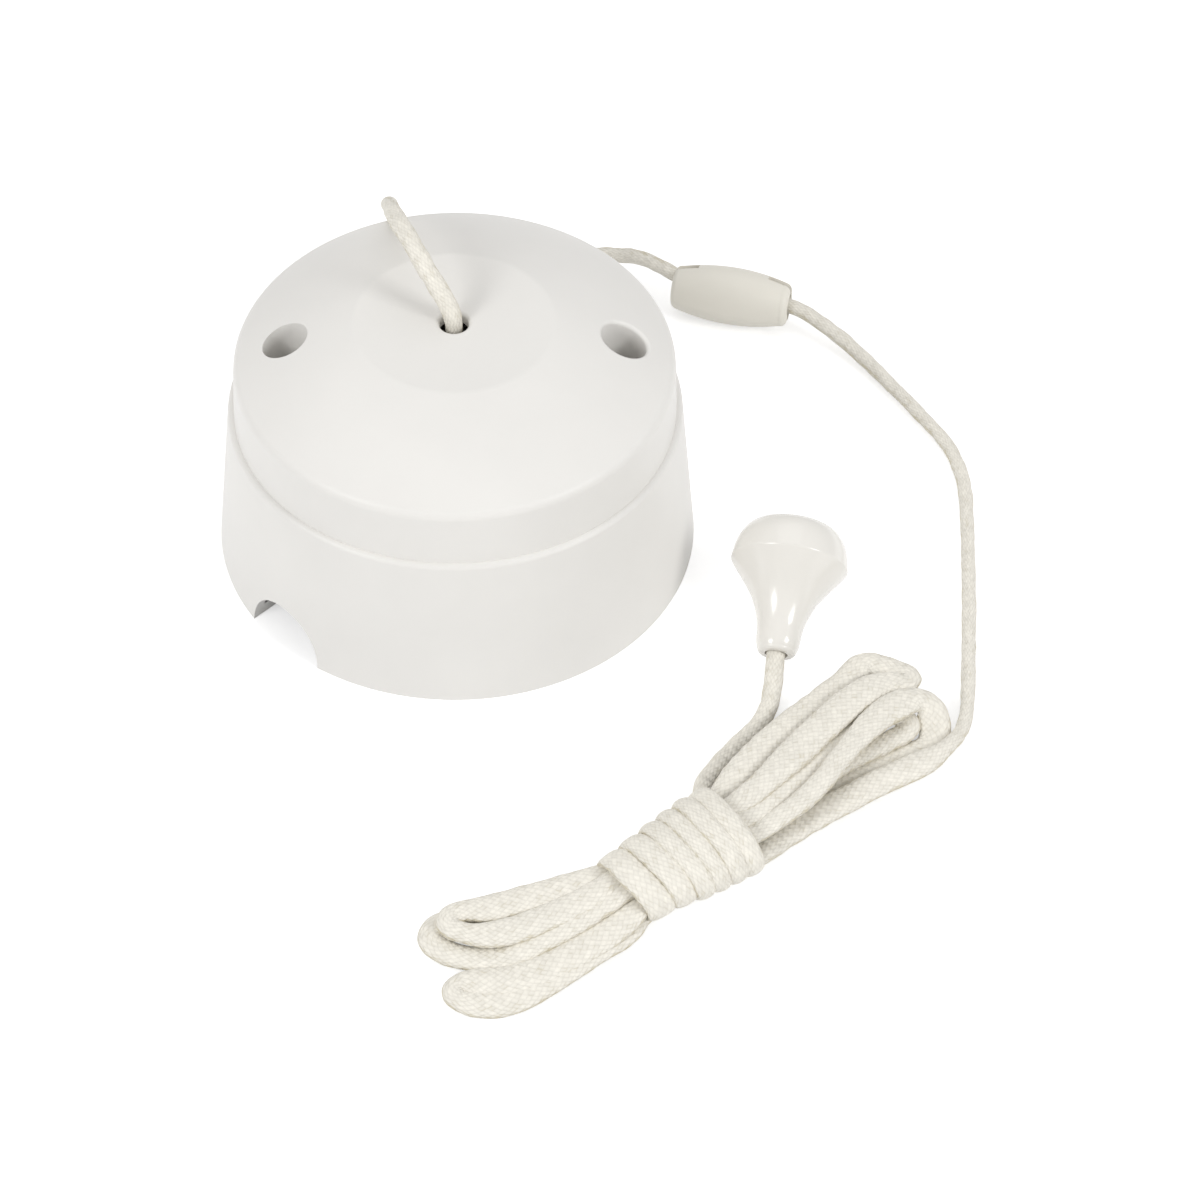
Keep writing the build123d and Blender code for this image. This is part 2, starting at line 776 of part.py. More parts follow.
def cord_tube(route, name):
    """Round tube along a route, with the radius of each arc set by its shorter run and its turn."""
    points = [Vector(*point) for point in route]
    radii = []
    for before, here, after in zip(points, points[1:], points[2:]):
        turn = (here - before).get_angle(after - here)
        shorter = min((here - before).length, (after - here).length)
        radii.append(0.45 * shorter / tan(radians(turn / 2)))
    path = FilletPolyline(*points, radius=radii)
    section = Plane(origin=path @ 0, z_dir=path % 0) * Circle(cord_radius)
    tube = sweep(section, path)
    expected = section.area * path.length
    print(name, "radii", [round(radius, 1) for radius in radii])
    print(name, "length", round(path.length, 1), "volume", round(tube.volume, 1), "of", round(expected, 1))
    return tube


def knot_at(point):
    """Tight overhand knot, as a ball on the cord."""
    return Pos(*point) * Sphere(knot_radius)


def straight_cord(start, end):
    """Straight length of cord inside a bore."""
    line = Line(start, end)
    return sweep(Plane(origin=line @ 0, z_dir=line % 0) * Circle(cord_radius), line)


def make_upper_cord():
    knot = (0, 0, knot_height)
    inside = straight_cord(knot, upper_route[0]) + knot_at(knot)
    return cord_tube(upper_route, "upper cord") + inside + knot_at(upper_route[-1])


def make_lower_cord():
    return cord_tube(lower_route, "lower cord") + knot_at(lower_route[0])


def make_acorn_cord():
    knot = on_acorn(acorn_near_length + acorn_far_length - acorn_recess_depth + knot_radius)
    inside = straight_cord(knot, acorn_route[0]) + knot_at(knot)
    return cord_tube(acorn_route, "acorn cord") + inside


def make_connector_half(front):
    """Half of the barrel, split along its axis. Turned end for end, one half is the other."""
    half = connector_length / 2
    outline = make_face(
        [
            ThreePointArc((-half, connector_end_radius), (0, connector_middle_radius), (half, connector_end_radius)),
            Polyline(
                (half, connector_end_radius),
                (half, 0),
                (-half, 0),
                (-half, connector_end_radius),
            ),
        ]
    )
    ends = [vertex for vertex in outline.vertices() if vertex.Y > connector_end_radius / 2]
    body = revolve(fillet(ends, connector_end_round), Axis.X)
    collar = rod_x(connector_collar_radius, half - connector_collar_length, half, 0, 0)
    collar_rims = collar.edges().filter_by(GeomType.CIRCLE).sort_by(Axis.X)
    collar = fillet(collar_rims[-1], connector_end_round)
    body += fillet(collar.edges().filter_by(GeomType.CIRCLE).sort_by(Axis.X)[0], connector_collar_round)
    cavity_end = half - connector_end_wall
    body -= rod_x(connector_cavity_radius, -cavity_end, cavity_end, 0, 0)
    body -= rod_x(connector_bore_radius, -half, half, 0, 0)
    reach = connector_middle_radius + 1
    slot_start = half - connector_slot_length
    for end in (-1, 1):
        ends_x = sorted((end * slot_start, end * half))
        body -= block(
            ends_x[0], ends_x[1], -connector_slot_half_width, connector_slot_half_width, -reach, reach
        )
    body &= block(-half, half, -reach, 0, -reach, reach)
    if not front:
        body = Rot(0, 0, 180) * body
    return connector_place * body


def make_acorn():
    length = acorn_near_length + acorn_far_length
    widest = (acorn_widest_radius, acorn_near_length)
    flare = acorn_widest_radius - acorn_neck_radius
    neck_shares = ((0.07, 0.03), (0.25, 0.08), (0.45, 0.19), (0.62, 0.365), (0.82, 0.69))
    neck_points = [
        (acorn_neck_radius + rise * flare, along * acorn_near_length) for along, rise in neck_shares
    ]
    dome_shares = ((0.18, 0.985), (0.42, 0.95), (0.65, 0.885), (0.86, 0.77))
    dome_points = [
        (share * acorn_widest_radius, acorn_near_length + along * acorn_far_length) for along, share in dome_shares
    ]
    end_corner = (acorn_end_radius, length - 0.2)
    lip = (acorn_neck_radius, acorn_neck_round)
    outline = make_face(
        [
            Line((acorn_bore_radius, 0), (acorn_neck_radius - acorn_neck_round, 0)),
            JernArc((acorn_neck_radius - acorn_neck_round, 0), (1, 0), acorn_neck_round, 90),
            Spline(lip, *neck_points, widest),
            Spline(widest, *dome_points, end_corner),
            Polyline(
                end_corner,
                (acorn_recess_radius, length),
                (acorn_recess_radius, length - acorn_recess_depth),
                (acorn_bore_radius, length - acorn_recess_depth),
                (acorn_bore_radius, 0),
            ),
        ]
    )
    rim = outline.vertices().sort_by_distance(Vector(widest[0], widest[1], 0))[0]
    outline = fillet(rim, acorn_rim_round)
    return acorn_place * revolve(Plane.XZ * outline, Axis.Z)


# Hank: elliptical sections along its length, as (x, y, heading, half width, height)
hank_sections = (
    (-4.0, -104.4, 27.0, 8.0, 3.6),
    (1.7, -105.3, 28.0, 11.8, 5.4),
    (10.2, -102.4, 29.0, 11.6, 6.2),
    (20.2, -98.0, 30.0, 9.8, 7.4),
    (26.6, -93.9, 33.0, 8.0, 8.6),
    (30.4, -91.2, 34.0, 8.5, 10.7),
    (38.6, -85.9, 34.5, 9.2, 11.4),
    (47.2, -80.0, 35.0, 10.2, 12.2),
    (51.6, -75.9, 38.0, 9.6, 10.6),
    (58.8, -69.2, 40.0, 11.0, 9.4),
    (67.4, -60.6, 40.5, 12.4, 8.6),
    (75.6, -50.4, 41.0, 12.4, 7.6),
    (80.6, -46.6, 41.0, 10.4, 6.2),
    (84.2, -44.6, 41.0, 6.4, 4.4),
)


def make_cord_hank():
    faces = []
    for x, y, heading, half_width, height in hank_sections:
        along = Vector(cos(radians(heading)), sin(radians(heading)), 0)
        across = Vector(-along.Y, along.X, 0)
        plane = Plane(origin=(x, y, height / 2 + floor_gap), x_dir=across, z_dir=along)
        faces.append(plane * Ellipse(half_width, height / 2))
    return loft(faces)


pieces = {
    "base": make_base(),
    "cover": make_cover(),
    "cover_screws": make_cover_screws(),
    "screw_inserts": make_screw_inserts(),
    "mechanism_frame": make_mechanism_frame(),
    "frame_screws": make_frame_screws(),
    "terminal_plate": make_terminal_plate(),
    "plate_screws": make_plate_screws(),
    "loop_terminal": make_loop_terminal(),
    "common_terminal": make_common_terminal(),
    "first_way_terminal": make_first_way_terminal(),
    "second_way_terminal": make_second_way_terminal(),
    "terminal_screws": make_terminal_screws(),
    "fixed_contacts": make_fixed_contacts(),
    "pull_plunger": make_pull_plunger(),
    "return_spring": make_return_spring(),
    "drive_pawl": make_drive_pawl(),
    "pawl_rivet": make_pawl_rivet(),
    "ratchet_cam": make_ratchet_cam(),
    "cam_spindle": make_cam_spindle(),
    "contact_lever": make_contact_lever(),
    "moving_contacts": make_moving_contacts(),
    "lever_pin": make_lever_pin(),
    "contact_spring": make_contact_spring(),
    "upper_cord": make_upper_cord(),
    "connector_front_half": make_connector_half(True),
    "connector_rear_half": make_connector_half(False),
    "lower_cord": make_lower_cord(),
    "cord_hank": make_cord_hank(),
    "acorn_cord": make_acorn_cord(),
    "acorn": make_acorn(),
}

for node, solid in pieces.items():
    print(node, "volume", round(solid.volume, 1))
    export_step(solid, f"parts/{node}.step")
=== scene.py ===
import json
import math

import bpy
from mathutils import Matrix, Vector, noise

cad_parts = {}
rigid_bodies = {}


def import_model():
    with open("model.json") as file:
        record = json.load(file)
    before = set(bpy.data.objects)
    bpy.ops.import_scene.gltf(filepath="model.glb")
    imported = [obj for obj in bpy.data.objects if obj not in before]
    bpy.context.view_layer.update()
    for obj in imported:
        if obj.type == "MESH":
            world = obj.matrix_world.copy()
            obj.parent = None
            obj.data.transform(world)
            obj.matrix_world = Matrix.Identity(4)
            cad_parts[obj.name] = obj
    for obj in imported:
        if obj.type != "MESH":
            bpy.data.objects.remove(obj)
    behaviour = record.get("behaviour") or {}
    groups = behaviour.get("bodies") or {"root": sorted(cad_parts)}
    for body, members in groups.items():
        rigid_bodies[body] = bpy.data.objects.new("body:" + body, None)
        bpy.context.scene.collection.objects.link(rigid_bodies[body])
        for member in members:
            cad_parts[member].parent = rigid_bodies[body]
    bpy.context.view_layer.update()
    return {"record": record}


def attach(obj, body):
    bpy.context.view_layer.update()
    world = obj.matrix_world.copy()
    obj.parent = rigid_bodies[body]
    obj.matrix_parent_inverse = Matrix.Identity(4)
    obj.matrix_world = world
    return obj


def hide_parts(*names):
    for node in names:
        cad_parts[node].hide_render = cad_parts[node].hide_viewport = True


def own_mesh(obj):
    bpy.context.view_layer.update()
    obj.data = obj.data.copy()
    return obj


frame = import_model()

bl_info = {
    "name": "Ceiling pull cord switch",
    "version": (1, 0, 0),
    "blender": (4, 5, 0),
    "location": "View3D > Sidebar > Pull switch",
    "description": "Dresses the solids of a ceiling pull cord switch and ties its cord",
    "category": "Object",
}

# Camera, as fitted to the photograph
CAMERA_PLACE = (0.00966, -0.53848, 0.55514)
CAMERA_RIGHT = (0.9997, -0.0190, 0.0119)
CAMERA_UP = (0.0057, 0.7305, 0.6829)
CAMERA_BACK = (-0.0217, -0.6826, 0.7304)
CAMERA_LENS = 124.38
CAMERA_SENSOR = 36.0

# Sections of the braided cord, as width and thickness
ROUND = (0.0029, 0.0029)
SLIM = (0.0026, 0.0026)
RUN = (0.0034, 0.0027)
IN_BORE = (0.0027, 0.0027)
WIDE = (0.0064, 0.0020)
BAND = (0.0057, 0.0020)
FLAT = (0.0051, 0.0020)
NARROW = (0.0043, 0.0020)
TIP = (0.0041, 0.0025)
CORE = (0.0038, 0.0021)
TURN = (0.0026, 0.0022)
ACORN_END = (0.0034, 0.0026)

# Ways that the flat side of the cord faces
UP = (0.0, 0.0, 1.0)
DOWN = (0.0, 0.0, -1.0)
FRONT = (0.0, -0.68, 0.73)
LEFT = (-0.8, -0.5, 0.2)

# The upper cord: out of the plunger, over the cover, down behind the housing and into the connector.
# Each stretch has its section, the way it faces and its points.
UPPER_CORD = [
    (IN_BORE, FRONT, [
        (0.0, 0.0, 0.0223),
        (0.0, 0.0, 0.0400),
        (0.0, 0.0, 0.0470),
    ]),
    (RUN, FRONT, [
        (0.0, 0.0, 0.0535),
        (-0.0042, 0.0030, 0.0600),
        (-0.0078, 0.0090, 0.0632),
        (-0.0108, 0.0175, 0.0616),
    ]),
    (ROUND, LEFT, [
        (-0.0119, 0.0265, 0.0560),
        (-0.0119, 0.0345, 0.0484),
        (-0.0119, 0.0425, 0.0400),
        (-0.0112, 0.0500, 0.0312),
        (-0.0086, 0.0565, 0.0218),
        (-0.0036, 0.0624, 0.0122),
        (0.0040, 0.0680, 0.0044),
        (0.0125, 0.0720, 0.0016),
        (0.0220, 0.0724, 0.0017),
        (0.0300, 0.0692, 0.0046),
        (0.0356, 0.0652, 0.0078),
        (0.0413, 0.0602, 0.0083),
    ]),
    (IN_BORE, LEFT, [
        (0.0448, 0.0586, 0.0068),
        (0.0481, 0.0573, 0.00565),
    ]),
]

# The lower cord from the knot in the connector to the left end of the binding
LOWER_CORD = [
    (IN_BORE, UP, [
        (0.0582, 0.0547, 0.00565),
        (0.0618, 0.0538, 0.00565),
    ]),
    (ROUND, UP, [
        (0.0655, 0.0528, 0.00565),
        (0.0707, 0.0492, 0.0044),
        (0.0766, 0.0446, 0.0021),
    ]),
    (SLIM, UP, [
        (0.0825, 0.0360, 0.0016),
        (0.0880, 0.0272, 0.0015),
        (0.0932, 0.0186, 0.0015),
        (0.0953, 0.0090, 0.0015),
        (0.0949, -0.0020, 0.0015),
        (0.0942, -0.0145, 0.0015),
        (0.0931, -0.0290, 0.0015),
        (0.0918, -0.0430, 0.0015),
        (0.0910, -0.0500, 0.0017),
        (0.0893, -0.0551, 0.0024),
    ]),
    (ROUND, UP, [
        (0.0865, -0.0589, 0.0032),
    ]),
    (BAND, UP, [
        (0.0825, -0.0623, 0.0035),
        (0.0784, -0.0646, 0.0034),
        (0.0743, -0.0668, 0.0033),
        (0.0692, -0.0700, 0.0033),
        (0.0637, -0.0737, 0.0034),
        (0.0584, -0.0777, 0.0037),
    ]),
    (CORE, UP, [
        (0.0518, -0.0850, 0.0044),
        (0.0417, -0.0897, 0.0036),
        (0.0321, -0.0951, 0.0030),
    ]),
    (WIDE, UP, [
        (0.0290, -0.0995, 0.0034),
        (0.0245, -0.1025, 0.0030),
        (0.0192, -0.1062, 0.0023),
        (0.0138, -0.1101, 0.0016),
        (0.0092, -0.1127, 0.0012),
        (0.0045, -0.1134, 0.0012),
    ]),
    (TIP, UP, [
        (0.0009, -0.1130, 0.0014),
        (-0.0004, -0.1111, 0.0014),
        (0.0005, -0.1094, 0.0015),
    ]),
    (WIDE, UP, [
        (0.0036, -0.1089, 0.0016),
        (0.0083, -0.1092, 0.0018),
        (0.0133, -0.1079, 0.0021),
        (0.0189, -0.1050, 0.0028),
        (0.0245, -0.1014, 0.0037),
        (0.0287, -0.0982, 0.0046),
    ]),
    (CORE, UP, [
        (0.0322, -0.0953, 0.0056),
        (0.0400, -0.0873, 0.0032),
        (0.0501, -0.0825, 0.0030),
    ]),
    (BAND, UP, [
        (0.0600, -0.0735, 0.0014),
        (0.0660, -0.0670, 0.0013),
        (0.0714, -0.0628, 0.0012),
        (0.0763, -0.0602, 0.0012),
        (0.0805, -0.0588, 0.0012),
        (0.0838, -0.0573, 0.0013),
        (0.0851, -0.0547, 0.0018),
        (0.0851, -0.0515, 0.0026),
        (0.0840, -0.0491, 0.0036),
        (0.0819, -0.0484, 0.0044),
    ]),
    (WIDE, UP, [
        (0.0792, -0.0497, 0.0051),
        (0.0757, -0.0528, 0.0057),
    ]),
    (FLAT, UP, [
        (0.0721, -0.0571, 0.0063),
    ]),
    (NARROW, UP, [
        (0.0681, -0.0629, 0.0069),
        (0.0641, -0.0696, 0.0075),
        (0.0595, -0.0757, 0.0080),
    ]),
    (CORE, UP, [
        (0.0504, -0.0829, 0.0074),
        (0.0408, -0.0884, 0.0068),
        (0.0304, -0.0926, 0.0070),
    ]),
    (FLAT, UP, [
        (0.0251, -0.0957, 0.0055),
        (0.0196, -0.0989, 0.0042),
        (0.0141, -0.1018, 0.0030),
        (0.0095, -0.1036, 0.0020),
        (0.0050, -0.1042, 0.0014),
        (0.0003, -0.1034, 0.0013),
    ]),
    (FLAT, UP, [
        (-0.0028, -0.1017, 0.0014),
        (-0.0042, -0.0992, 0.0014),
        (-0.0029, -0.0966, 0.0014),
    ]),
    (FLAT, UP, [
        (0.0004, -0.0955, 0.0012),
        (0.0050, -0.0952, 0.0012),
        (0.0110, -0.0944, 0.0013),
        (0.0175, -0.0930, 0.0017),
        (0.0235, -0.0914, 0.0025),
    ]),
    (CORE, UP, [
        (0.0291, -0.0908, 0.0036),
        (0.0383, -0.0848, 0.0034),
        (0.0477, -0.0789, 0.0046),
    ]),
    (NARROW, UP, [
        (0.0560, -0.0735, 0.0048),
        (0.0628, -0.0675, 0.0042),
        (0.0678, -0.0627, 0.0034),
        (0.0727, -0.0593, 0.0029),
        (0.0767, -0.0567, 0.0026),
        (0.0794, -0.0549, 0.0025),
        (0.0805, -0.0532, 0.0027),
        (0.0796, -0.0514, 0.0030),
        (0.0765, -0.0511, 0.0034),
    ]),
    (BAND, UP, [
        (0.0718, -0.0553, 0.0043),
        (0.0673, -0.0591, 0.0051),
        (0.0629, -0.0637, 0.0058),
        (0.0586, -0.0691, 0.0066),
        (0.0541, -0.0745, 0.0074),
    ]),
    (CORE, UP, [
        (0.0487, -0.0804, 0.0083),
        (0.0389, -0.0856, 0.0076),
        (0.0286, -0.0900, 0.0072),
    ]),
    (BAND, UP, [
        (0.0245, -0.0936, 0.0061),
        (0.0196, -0.0958, 0.0051),
        (0.0142, -0.0981, 0.0043),
        (0.0095, -0.0998, 0.0037),
        (0.0055, -0.1005, 0.0034),
    ]),
    (TIP, UP, [
        (0.0018, -0.1001, 0.0034),
        (-0.0012, -0.0988, 0.0034),
        (-0.0013, -0.0962, 0.0034),
        (0.0012, -0.0951, 0.0034),
    ]),
    (BAND, UP, [
        (0.0045, -0.0948, 0.0034),
        (0.0093, -0.0938, 0.0038),
        (0.0142, -0.0926, 0.0044),
        (0.0191, -0.0914, 0.0050),
        (0.0232, -0.0905, 0.0056),
    ]),
    (CORE, UP, [
        (0.0272, -0.0880, 0.0056),
        (0.0371, -0.0830, 0.0069),
        (0.0466, -0.0774, 0.0086),
    ]),
    (FLAT, UP, [
        (0.0500, -0.0752, 0.0087),
        (0.0543, -0.0701, 0.0082),
    ]),
    (WIDE, UP, [
        (0.0584, -0.0648, 0.0076),
        (0.0626, -0.0592, 0.0069),
        (0.0668, -0.0537, 0.0061),
        (0.0708, -0.0489, 0.0053),
        (0.0747, -0.0453, 0.0045),
    ]),
    (FLAT, UP, [
        (0.0779, -0.0438, 0.0038),
        (0.0803, -0.0433, 0.0031),
        (0.0811, -0.0416, 0.0026),
        (0.0796, -0.0401, 0.0024),
        (0.0769, -0.0388, 0.0024),
        (0.0739, -0.0376, 0.0024),
        (0.0715, -0.0396, 0.0025),
    ]),
    (BAND, UP, [
        (0.0697, -0.0429, 0.0028),
        (0.0667, -0.0463, 0.0033),
        (0.0634, -0.0498, 0.0040),
        (0.0600, -0.0536, 0.0048),
        (0.0561, -0.0581, 0.0056),
        (0.0521, -0.0634, 0.0063),
        (0.0486, -0.0686, 0.0068),
    ]),
    (CORE, UP, [
        (0.0446, -0.0744, 0.0066),
        (0.0363, -0.0818, 0.0042),
        (0.0284, -0.0884, 0.0030),
    ]),
    (TURN, UP, [
        (0.0264, -0.0894, 0.0022),
        (0.0251, -0.0890, 0.0015),
        (0.0244, -0.0877, 0.0013),
        (0.0247, -0.0863, 0.0017),
        (0.0256, -0.0854, 0.0030),
    ]),
]

# The binding: where its axis starts, its heading, and for each turn its places along the axis at the back,
# at the top and at the front, the half width and half height of the cord's middle, and the cord's width
BINDING_START = Vector((0.0290, -0.0924, 0.0))
BINDING_ALONG = Vector((0.8256, 0.5642, 0.0))
BINDING_ACROSS = Vector((-0.5642, 0.8256, 0.0))
BINDING_FLOOR = 0.0011
WRAPS = [
    (0.0018, 0.0012, 0.0028, 0.0070, 0.0041, 0.0058),
    (0.0062, 0.0060, 0.0076, 0.0075, 0.0045, 0.0050),
    (0.0106, 0.0100, 0.0112, 0.0083, 0.0047, 0.0041),
    (0.0143, 0.0135, 0.0143, 0.0087, 0.0049, 0.0038),
    (0.0181, 0.0169, 0.0176, 0.0090, 0.0052, 0.0040),
    (0.0217, 0.0206, 0.0208, 0.0091, 0.0051, 0.0042),
]
WRAP_THICKNESS = 0.0020
WRAP_POINTS = 12
WRAPS_END = 0.0244

# Out from under the binding, over the floor and into the acorn
ACORN_CORD = [
    (ACORN_END, DOWN, [
        (0.0454, -0.0751, 0.0013),
        (0.0436, -0.0716, 0.0014),
        (0.0428, -0.0682, 0.0015),
        (0.0437, -0.0646, 0.0015),
        (0.0459, -0.0614, 0.0015),
        (0.0485, -0.0579, 0.0015),
        (0.0512, -0.0547, 0.0015),
        (0.0540, -0.0514, 0.0015),
        (0.0557, -0.0478, 0.0015),
        (0.0565, -0.0440, 0.0015),
        (0.0570, -0.0402, 0.0020),
        (0.0574, -0.0366, 0.0032),
    ]),
    (IN_BORE, DOWN, [
        (0.0581, -0.0330, 0.0047),
        (0.0589, -0.0285, 0.0066),
        (0.0602, -0.0217, 0.0095),
    ]),
]

# Stopper knots at the cords' ends, as places and axes
UPPER_KNOTS = [
    ("knot_in_plunger", (0.0, 0.0, 0.0223), (0.0, 0.0, 1.0)),
    ("knot_of_upper_cord", (0.0481, 0.0573, 0.00565), (0.93, -0.36, 0.0)),
]
LOWER_KNOTS = [
    ("knot_of_lower_cord", (0.0582, 0.0547, 0.00565), (0.93, -0.36, 0.0)),
    ("knot_in_acorn", (0.0602, -0.0217, 0.0095), (0.167, 0.908, 0.384)),
]
KNOT_REACH = 0.0017
KNOT_SECTION = (0.0019, 0.0019)
KNOT_POINTS = 90
KNOT_DEPTH = 1.6

# Springs that shorten, as nodes, joints, the seats that they shorten towards,
# and the part of their length that is left
SPRINGS = [
    ("return_spring", "cord_pull", (0.0, 0.0, 0.0395), 0.497),
    ("contact_spring", "contact_rock", (0.0049, 0.01354, 0.0085), 0.73),
]

# Fineness of the cord's tube, and of the lumps in its surface
ROUTE_STEPS = 14
RING_POINTS = 24
UNEVEN_SCALE = 420.0

# Yarn: how its plaits, fuzz and wear share in its relief and tone. The tone also holds painted light: the
# plait ridges and random flecks are lighter as painted highlights, and the flat edges are darker as painted
# shade
RIDGE_POWER = 0.6
FUZZ_SCALE = 2600.0
WEAR_SCALE = 520.0
FUZZ_RELIEF = 0.35
RIDGE_LIGHT_TONE = 0.2
# Painted glints: how much a random brightness per plait adds
GLINT_TONE = 0.3
WEAR_TONE = 0.5
# Painted shade at the flat cord's edges, where strands press together: how much it darkens, and how narrow
# it is
EDGE_SHADE_TONE = 0.3
EDGE_SHADE_POWER = 12.0
YARN_RELIEF = 0.00008
YARN_ROUGHNESS = 0.6
YARN_SHEEN = 0.1
YARN_SHEEN_ROUGHNESS = 0.4

# Plastics that show, as roughness, grain and grain height; the housing's roughness is among the settings
CLOUD_SCALE = 38.0
COAT_ROUGHNESS = 0.12
HOUSING_GRAIN = (900.0, 0.00002)
HOUSING_SHINE = 0.22
CONNECTOR_FINISH = (0.48, 700.0, 0.00003)
ACORN_FINISH = (0.20, 500.0, 0.000005)
ACORN_COAT = 0.3

# Plastics inside the switch, as colour, roughness, grain and grain height
INNER_PLASTICS = {
    "frame_plastic": ((0.62, 0.60, 0.54), 0.5, 800.0, 0.00002),
    "plate_plastic": ((0.034, 0.031, 0.028), 0.45, 700.0, 0.00003),
    "cam_plastic": ((0.52, 0.52, 0.48), 0.42, 900.0, 0.00001),
}

# Metals, as colour, roughness and the fineness of their scratches
INNER_METALS = {
    "screw_steel": ((0.56, 0.56, 0.55), 0.32, 900.0),
    "contact_silver": ((0.80, 0.80, 0.78), 0.24, 700.0),
    "terminal_brass": ((0.62, 0.43, 0.15), 0.30, 800.0),
}
SPRING_FINISH = ((0.47, 0.48, 0.50), 0.26, 1400.0)
SCRATCH_STRETCH = (1.0, 1.0, 9.0)
SCRATCH_RELIEF = 0.00003
TARNISH_SCALE = 160.0

# Stage: the floor's half width and glow, and lamps as names, places, the settings of their power, and sizes
FLOOR_REACH = 4.0
FLOOR_GRAIN = 60.0
FLOOR_ROUGHNESS = 0.9
FLOOR_GLOW = 0.49
LAMP_TARGET = (0.03, -0.02, 0.02)
LAMPS = [
    ("left_lamp", (-0.72, -0.55, 0.68), "side_lamps", 0.35),
    ("right_lamp", (0.78, -0.52, 0.66), "side_lamps", 0.35),
    ("top_lamp", (0.05, 0.50, 1.0), "top_lamp", 0.8),
]


class CordSettings(bpy.types.PropertyGroup):
    """The braided cord."""
    diameter: bpy.props.FloatProperty(
        name="Diameter", description="Diameter of the free cord", default=0.0029, unit="LENGTH")
    plaits: bpy.props.IntProperty(
        name="Plaits", description="Plaits that run each way round the cord", default=16)
    plait_length: bpy.props.FloatProperty(
        name="Plait length", description="Length of one crossing along the cord", default=0.0015,
        unit="LENGTH")
    unevenness: bpy.props.FloatProperty(
        name="Unevenness", description="How far the cord's surface wanders", default=0.00016, unit="LENGTH")
    colour: bpy.props.FloatVectorProperty(
        name="Colour", description="Colour of the yarn", default=(0.885, 0.85, 0.765), subtype="COLOR")
    # Painted shade: the dark colour that the ramp gives between the plaits and at the flat edges
    painted_shade: bpy.props.FloatVectorProperty(
        name="Shade", description="Colour between the plaits", default=(0.66, 0.60, 0.45), subtype="COLOR")


class MouldingSettings(bpy.types.PropertyGroup):
    """The moulded pieces that show."""
    housing: bpy.props.FloatVectorProperty(
        name="Housing", description="Colour of the base and cover", default=(0.82, 0.805, 0.775),
        subtype="COLOR")
    connector: bpy.props.FloatVectorProperty(
        name="Connector", description="Colour of the cord connector", default=(0.84, 0.81, 0.73),
        subtype="COLOR")
    acorn: bpy.props.FloatVectorProperty(
        name="Acorn", description="Colour of the acorn", default=(0.825, 0.803, 0.755), subtype="COLOR")
    roughness: bpy.props.FloatProperty(
        name="Roughness", description="Roughness of the housing", default=0.36, subtype="FACTOR")


class StageSettings(bpy.types.PropertyGroup):
    """Floor and lights."""
    floor: bpy.props.FloatVectorProperty(
        name="Floor", description="Colour of the floor", default=(0.83, 0.83, 0.83), subtype="COLOR")
    side_lamps: bpy.props.FloatProperty(
        name="Side lamps", description="Power of each side lamp", default=3.75, unit="POWER")
    top_lamp: bpy.props.FloatProperty(
        name="Top lamp", description="Power of the lamp above", default=1.1, unit="POWER")
    sky: bpy.props.FloatProperty(
        name="Sky", description="Strength of the light from all round", default=0.60)


def add(tree, kind, **inputs):
    """A new node with some of its inputs set by name, underscores for blanks."""
    made = tree.nodes.new(kind)
    for name, value in inputs.items():
        made.inputs[name.replace("_", " ")].default_value = value
    return made


def maths(tree, operation, first, second=None):
    """A maths node on two sockets or numbers."""
    made = tree.nodes.new("ShaderNodeMath")
    made.operation = operation
    for place, value in enumerate((first, second)):
        if isinstance(value, bpy.types.NodeSocket):
            tree.links.new(value, made.inputs[place])
        elif value is not None:
            made.inputs[place].default_value = value
    return made.outputs[0]


def new_material(name):
    """An empty node material and its principled shader."""
    material = bpy.data.materials.new(name)
    material.use_nodes = True
    tree = material.node_tree
    return material, tree, tree.nodes["Principled BSDF"]


def ramp(tree, factor, stops):
    """A colour ramp on a factor, with stops of place and colour."""
    made = tree.nodes.new("ShaderNodeValToRGB")
    elements = made.color_ramp.elements
    while len(elements) < len(stops):
        elements.new(0.5)
    for element, (place, colour) in zip(elements, stops):
        element.position = place
        element.color = (*colour, 1.0)
    tree.links.new(factor, made.inputs["Fac"])
    return made.outputs["Color"]


def scaled(colour, factor):
    """A colour made lighter or darker."""
    return tuple(part * factor for part in colour)


def bump(tree, shader, height, distance, strength=1.0):
    """A bump of some distance on a shader."""
    made = add(tree, "ShaderNodeBump", Strength=strength, Distance=distance)
    tree.links.new(height, made.inputs["Height"])
    tree.links.new(made.outputs["Normal"], shader.inputs["Normal"])


def moulded(name, colour, roughness, grain, grain_height, coat=0.0, shine=0.5):
    """Moulded plastic: faint clouding in its colour, an uneven gloss and a fine skin."""
    material, tree, shader = new_material(name)
    place = tree.nodes.new("ShaderNodeTexCoord").outputs["Object"]
    clouds = add(tree, "ShaderNodeTexNoise", Scale=CLOUD_SCALE, Detail=3.0)
    skin = add(tree, "ShaderNodeTexNoise", Scale=grain, Detail=2.0)
    for texture in (clouds, skin):
        tree.links.new(place, texture.inputs["Vector"])
    stops = [(0.3, scaled(colour, 0.975)), (0.7, scaled(colour, 1.015))]
    tint = ramp(tree, clouds.outputs["Fac"], stops)
    gloss = add(tree, "ShaderNodeMapRange", To_Min=roughness - 0.04, To_Max=roughness + 0.05)
    tree.links.new(skin.outputs["Fac"], gloss.inputs["Value"])
    tree.links.new(tint, shader.inputs["Base Color"])
    tree.links.new(gloss.outputs["Result"], shader.inputs["Roughness"])
    shader.inputs["Specular IOR Level"].default_value = shine
    shader.inputs["Coat Weight"].default_value = coat
    shader.inputs["Coat Roughness"].default_value = COAT_ROUGHNESS
    bump(tree, shader, skin.outputs["Fac"], grain_height)
    return material


